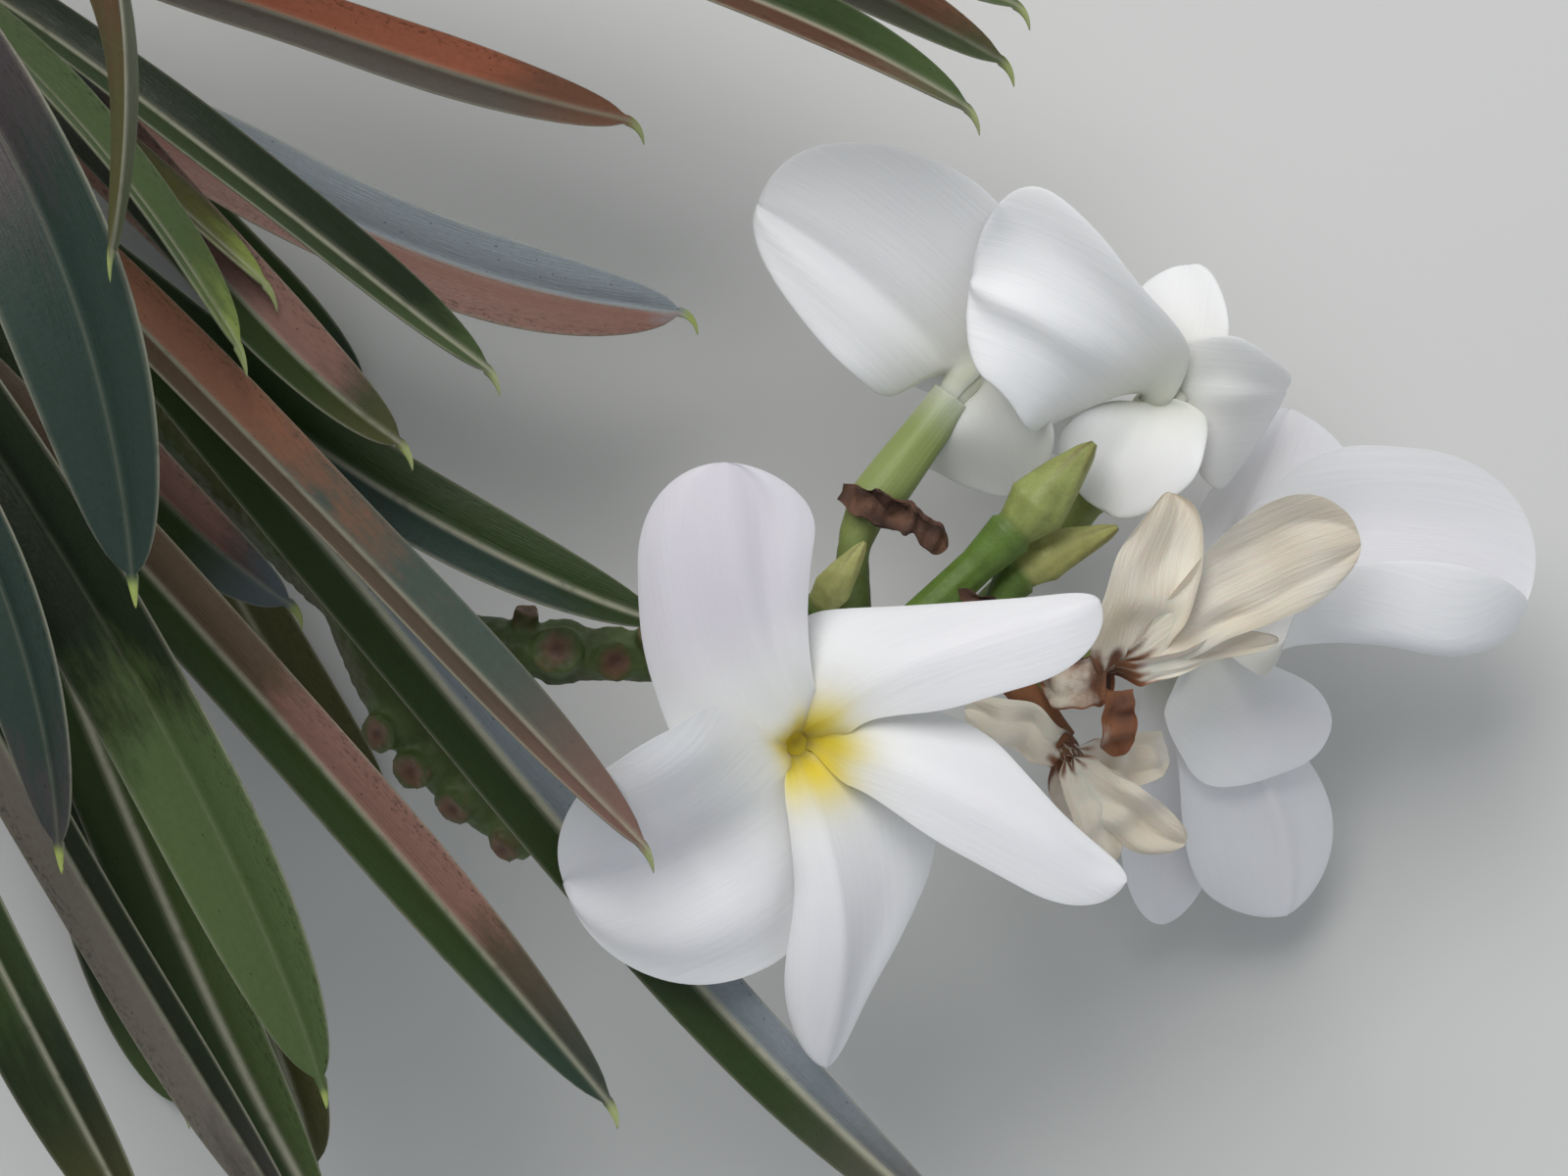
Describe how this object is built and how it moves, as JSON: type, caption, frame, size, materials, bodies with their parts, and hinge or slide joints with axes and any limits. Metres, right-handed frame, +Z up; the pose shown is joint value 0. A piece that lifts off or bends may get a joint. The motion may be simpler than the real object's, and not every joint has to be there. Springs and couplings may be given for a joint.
{
  "type": "cut flowering branch of a madagascar palm",
  "caption": "Cut succulent branch tip lying down, with long strap leaves in a spray and a forked flower stalk of open white blooms, buds and withered flowers.",
  "frame": {"origin": "middle of the footprint, on the level surface that the branch lies on", "axes": "+X from the leaves towards the flowers, +Y from the stem's cut end towards its tip, +Z up from the surface, towards the camera of the picture"},
  "size_m": [0.5068, 0.3536, 0.1939],
  "materials": {
    "bark": "matt grey-green bark of a fleshy stem",
    "leaf": "leathery green strap leaf with a satin sheen",
    "stalk": "satin green flower stalk",
    "petal": "soft white petal",
    "calyx": "satin yellow-green bud",
    "spent": "dry papery beige petal",
    "bract": "dry dark brown bract"
  },
  "bodies": {
    "root": {"stem": "bark", "leaf_01": "leaf", "leaf_02": "leaf", "leaf_03": "leaf", "leaf_04": "leaf", "leaf_05": "leaf", "leaf_06": "leaf", "leaf_07": "leaf", "leaf_08": "leaf", "leaf_09": "leaf", "leaf_10": "leaf", "leaf_11": "leaf", "leaf_12": "leaf", "leaf_13": "leaf", "leaf_14": "leaf", "leaf_15": "leaf", "leaf_16": "leaf", "leaf_17": "leaf", "leaf_18": "leaf", "leaf_19": "leaf", "leaf_20": "leaf", "leaf_21": "leaf", "leaf_22": "leaf", "leaf_23": "leaf", "leaf_24": "leaf", "leaf_25": "leaf", "leaf_26": "leaf", "leaf_27": "leaf", "leaf_28": "leaf", "leaf_29": "leaf", "leaf_30": "leaf", "leaf_31": "leaf", "leaf_32": "leaf", "leaf_33": "leaf", "leaf_34": "leaf", "leaf_35": "leaf", "leaf_36": "leaf", "leaf_37": "leaf", "leaf_38": "leaf", "leaf_39": "leaf", "leaf_40": "leaf", "leaf_41": "leaf", "flower_stalk": "stalk", "pedicel_1": "stalk", "bloom_1": "petal", "pedicel_2": "stalk", "bloom_2": "petal", "pedicel_3": "stalk", "bloom_3": "petal", "pedicel_4": "stalk", "bloom_4": "petal", "spent_flower_1": "spent", "spent_flower_2": "spent", "bud_1": "calyx", "bud_2": "calyx", "bud_3": "calyx", "bract_1": "bract", "bract_2": "bract"}
  },
  "joints": []
}
